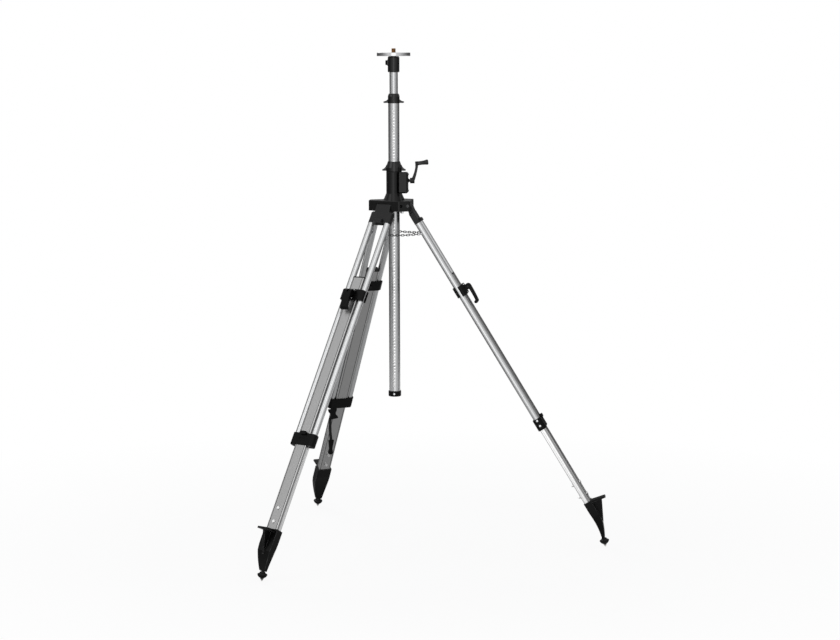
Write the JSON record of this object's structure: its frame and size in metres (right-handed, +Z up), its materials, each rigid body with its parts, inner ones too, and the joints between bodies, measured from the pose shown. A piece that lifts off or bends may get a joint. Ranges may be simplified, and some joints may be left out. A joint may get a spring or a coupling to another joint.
{
  "type": "elevating surveying tripod",
  "caption": "Surveying tripod with twin-tube telescopic legs, lever clamps, spiked feet with steps, and a crank-raised rack column carrying a round head with an instrument stud.",
  "frame": {"origin": "plumb point: the spot on the ground under the column's axis", "axes": "+Z up along the column, +X over the right leg"},
  "size_m": [1.1816, 1.3574, 1.801],
  "materials": {
    "black_plastic": "moulded black",
    "satin_tube": "satin anodised",
    "column_tube": "satin anodised",
    "leg_panel": "satin extruded",
    "bright_steel": "zinc plated",
    "rack_metal": "milled",
    "dark_steel": "blackened",
    "chain_steel": "zinc plated",
    "stud_brass": "turned",
    "head_alloy": "turned",
    "strap_webbing": "woven",
    "foot_paint": "black powder coat",
    "point_steel": "black, worn at the tip",
    "black_casting": "black powder coat",
    "crank_paint": "black powder coat",
    "block_casting": "moulded dark grey",
    "bush_nylon": "nylon",
    "grip_plastic": "moulded black"
  },
  "bodies": {
    "crown": {"crown": "black_casting", "hinge_pins": "dark_steel", "housing": "black_casting", "gear_box": "black_casting", "guide_bushes": "bush_nylon", "spreader_chains": "chain_steel"},
    "lower_lock": {"lower_lock_collar": "black_plastic"},
    "crank": {"pinion_shaft": "bright_steel", "crank_arm": "crank_paint"},
    "crank_grip": {"crank_grip": "grip_plastic"},
    "column": {"outer_tube": "column_tube", "rack": "rack_metal", "end_cap": "black_plastic"},
    "upper_lock": {"upper_lock_collar": "black_plastic"},
    "inner_column": {"inner_tube": "column_tube", "head_clamp": "black_plastic"},
    "head": {"head_plate": "head_alloy", "stud": "stud_brass"},
    "head_knob": {"head_knob": "black_plastic"},
    "right_leg": {"right_hinge_block": "block_casting", "right_tube_left": "satin_tube", "right_tube_right": "satin_tube", "right_lower_collar": "black_plastic"},
    "right_lower_leg": {"right_inner_leg": "leg_panel", "right_leg_plug": "black_plastic", "right_clamp_outer": "black_plastic", "right_clamp_inner": "black_plastic", "right_clamp_bolt": "bright_steel", "right_foot": "foot_paint", "right_foot_point": "point_steel", "right_foot_bolts": "bright_steel"},
    "right_lever": {"right_clamp_lever": "black_plastic"},
    "front_leg": {"front_hinge_block": "block_casting", "front_tube_left": "satin_tube", "front_tube_right": "satin_tube", "front_lower_collar": "black_plastic"},
    "front_lower_leg": {"front_inner_leg": "leg_panel", "front_leg_plug": "black_plastic", "front_clamp_outer": "black_plastic", "front_clamp_inner": "black_plastic", "front_clamp_bolt": "bright_steel", "front_foot": "foot_paint", "front_foot_point": "point_steel", "front_foot_bolts": "bright_steel"},
    "front_lever": {"front_clamp_lever": "black_plastic"},
    "rear_leg": {"rear_hinge_block": "block_casting", "rear_tube_left": "satin_tube", "rear_tube_right": "satin_tube", "rear_lower_collar": "black_plastic", "carry_strap": "strap_webbing"},
    "rear_lower_leg": {"rear_inner_leg": "leg_panel", "rear_leg_plug": "black_plastic", "rear_clamp_outer": "black_plastic", "rear_clamp_inner": "black_plastic", "rear_clamp_bolt": "bright_steel", "rear_foot": "foot_paint", "rear_foot_point": "point_steel", "rear_foot_bolts": "bright_steel"},
    "rear_lever": {"rear_clamp_lever": "black_plastic"}
  },
  "joints": [
    {"name": "right_leg_fold", "type": "hinge", "parent": "crown", "child": "right_leg", "pos_m": [0.056, 0, 1.24031], "axis": [0, 1, 0], "range_deg": [0, 31], "deforming": ["spreader_chains"]},
    {"name": "right_leg_slide", "type": "slide", "parent": "right_leg", "child": "right_lower_leg", "axis": [0.518, 0, -0.8554], "range_m": [-0.2, 0.45]},
    {"name": "right_lever_turn", "type": "hinge", "parent": "right_lower_leg", "child": "right_lever", "pos_m": [0.26725, 0, 0.94825], "axis": [0, -1, 0], "range_deg": [0, 100]},
    {"name": "front_leg_fold", "type": "hinge", "parent": "crown", "child": "front_leg", "pos_m": [-0.028, -0.0485, 1.24031], "axis": [0.866, -0.5, 0], "range_deg": [0, 31], "deforming": ["spreader_chains"]},
    {"name": "front_leg_slide", "type": "slide", "parent": "front_leg", "child": "front_lower_leg", "axis": [-0.259, -0.4486, -0.8554], "range_m": [-0.2, 0.45]},
    {"name": "front_lever_turn", "type": "hinge", "parent": "front_lower_leg", "child": "front_lever", "pos_m": [-0.13362, -0.23144, 0.94825], "axis": [-0.866, 0.5, 0], "range_deg": [0, 100]},
    {"name": "rear_leg_fold", "type": "hinge", "parent": "crown", "child": "rear_leg", "pos_m": [-0.028, 0.0485, 1.24031], "axis": [-0.866, -0.5, 0], "range_deg": [0, 31], "deforming": ["spreader_chains", "carry_strap"]},
    {"name": "rear_leg_slide", "type": "slide", "parent": "rear_leg", "child": "rear_lower_leg", "axis": [-0.259, 0.4486, -0.8554], "range_m": [-0.2, 0.45]},
    {"name": "rear_lever_turn", "type": "hinge", "parent": "rear_lower_leg", "child": "rear_lever", "pos_m": [-0.13362, 0.23144, 0.94825], "axis": [0.866, 0.5, 0], "range_deg": [0, 100]},
    {"name": "column_slide", "type": "slide", "parent": "crown", "child": "column", "axis": [0, 0, 1], "range_m": [-0.2, 0.58]},
    {"name": "crank_turn", "type": "hinge", "parent": "crown", "child": "crank", "pos_m": [0, -0.03304, 1.33001], "axis": [1, 0, 0], "continuous": true},
    {"name": "grip_spin", "type": "hinge", "parent": "crank", "child": "crank_grip", "pos_m": [0.086, -0.03304, 1.39101], "axis": [0.9903, 0, 0.1392], "continuous": true},
    {"name": "lower_lock_turn", "type": "hinge", "parent": "crown", "child": "lower_lock", "pos_m": [0, 0, 1.38001], "axis": [0, 0, 1], "range_deg": [0, 90]},
    {"name": "upper_lock_turn", "type": "hinge", "parent": "column", "child": "upper_lock", "pos_m": [0, 0, 1.62001], "axis": [0, 0, 1], "range_deg": [0, 90]},
    {"name": "inner_column_slide", "type": "slide", "parent": "column", "child": "inner_column", "axis": [0, 0, 1], "range_m": [-0.07, 0.45]},
    {"name": "head_swivel", "type": "hinge", "parent": "inner_column", "child": "head", "pos_m": [0, 0, 1.78001], "axis": [0, 0, 1], "continuous": true},
    {"name": "head_knob_turn", "type": "hinge", "parent": "inner_column", "child": "head_knob", "pos_m": [-0.025, 0, 1.75001], "axis": [-1, 0, 0], "range_deg": [0, 360]}
  ],
  "couplings": [
    {"joint": "crank_turn", "follows": "column_slide", "rad_per_m": 68.295}
  ]
}
